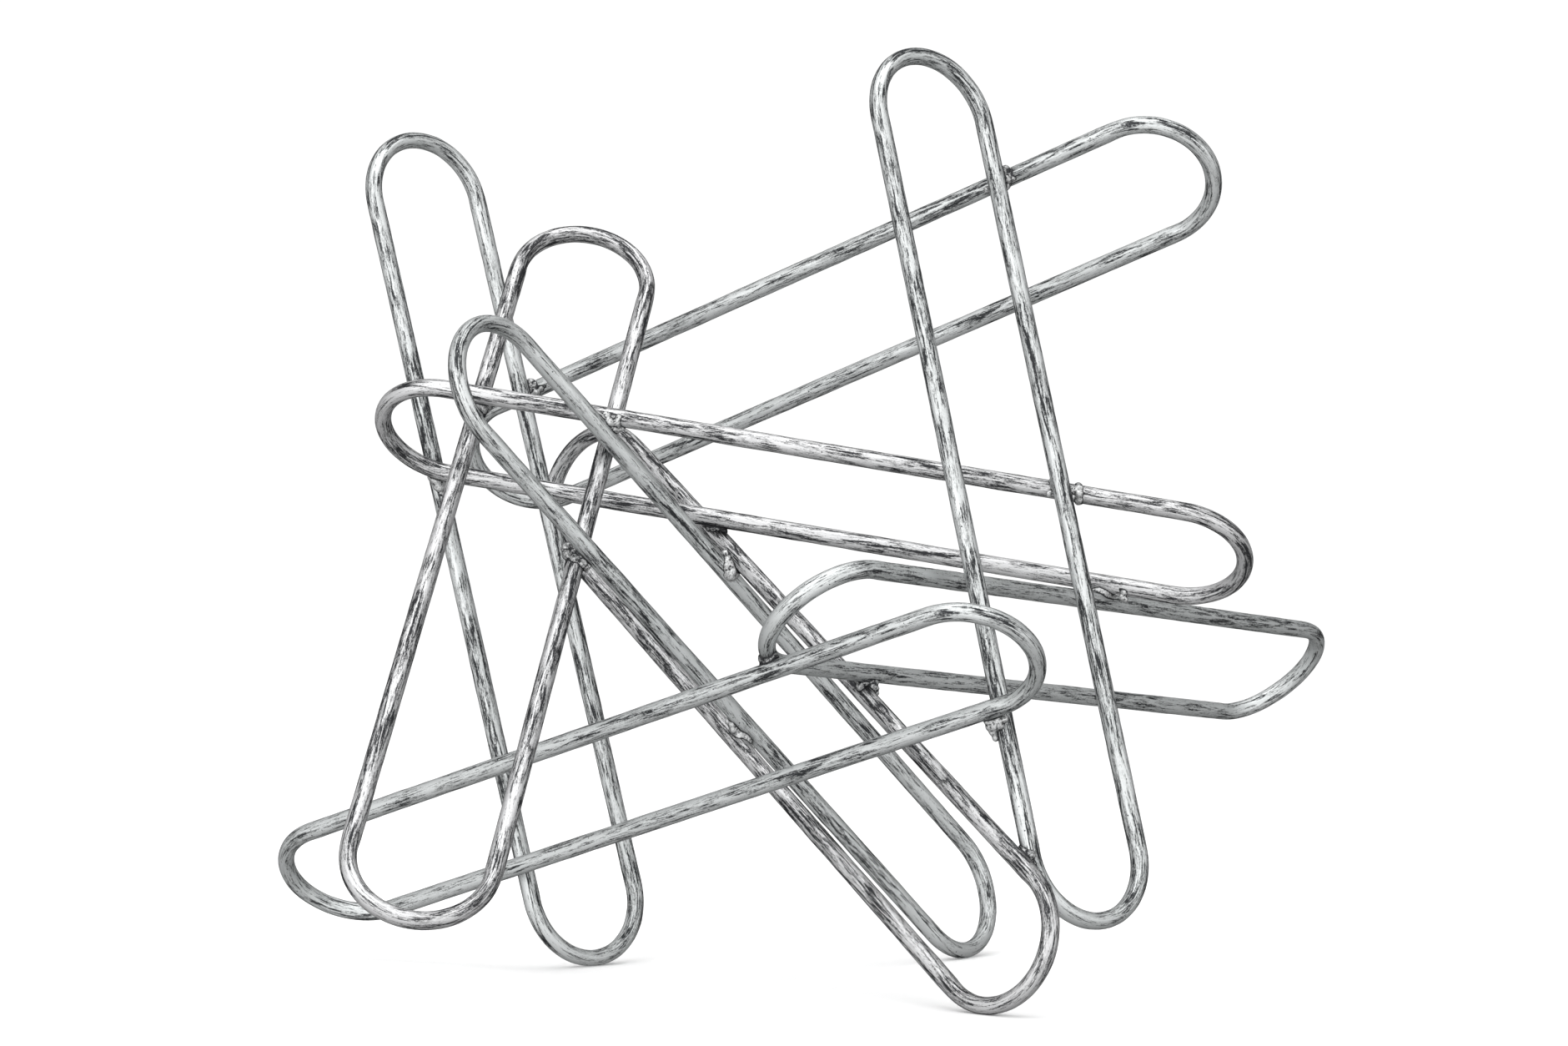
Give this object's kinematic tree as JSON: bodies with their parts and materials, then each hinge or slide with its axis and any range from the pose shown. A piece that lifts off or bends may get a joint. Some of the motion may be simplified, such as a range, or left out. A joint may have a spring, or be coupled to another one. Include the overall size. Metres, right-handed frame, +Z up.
{
  "type": "abstract metal loop sculpture",
  "caption": "Tabletop sculpture of long round-rod loops leaned together and welded where they touch, standing on the lower bends, in aged silver.",
  "frame": {"origin": "on the ground, under the middle of the work's outer box", "axes": "+Z up; +X to the right along the greatest length, as seen from the front; +Y away from the viewer"},
  "size_m": [0.6154, 0.453, 0.5162],
  "materials": {
    "aged_silver": "silver-grey leaf look, satin, with dark brushed streaks along the rod and dark pits",
    "weld_metal": "lumpy weld bead under the same aged silver, darker in its creases"
  },
  "bodies": {
    "root": {"loop_tall_left": "aged_silver", "loop_leaning": "aged_silver", "loop_brace_back": "aged_silver", "loop_brace_front": "aged_silver", "loop_crossbar": "aged_silver", "loop_low": "aged_silver", "loop_tall_right": "aged_silver", "loop_top": "aged_silver", "loop_outer": "aged_silver", "weld_left_top": "weld_metal", "weld_left_crossbar": "weld_metal", "weld_leaning_crossbar": "weld_metal", "weld_leaning_brace": "weld_metal", "weld_crossbar_back": "weld_metal", "weld_crossbar_front": "weld_metal", "weld_braces_upper": "weld_metal", "weld_braces_lower": "weld_metal", "weld_right_top": "weld_metal", "weld_right_crossbar": "weld_metal", "weld_right_low": "weld_metal", "weld_right_front": "weld_metal", "weld_outer_crossbar": "weld_metal", "weld_outer_front": "weld_metal", "weld_outer_low": "weld_metal"}
  },
  "joints": []
}
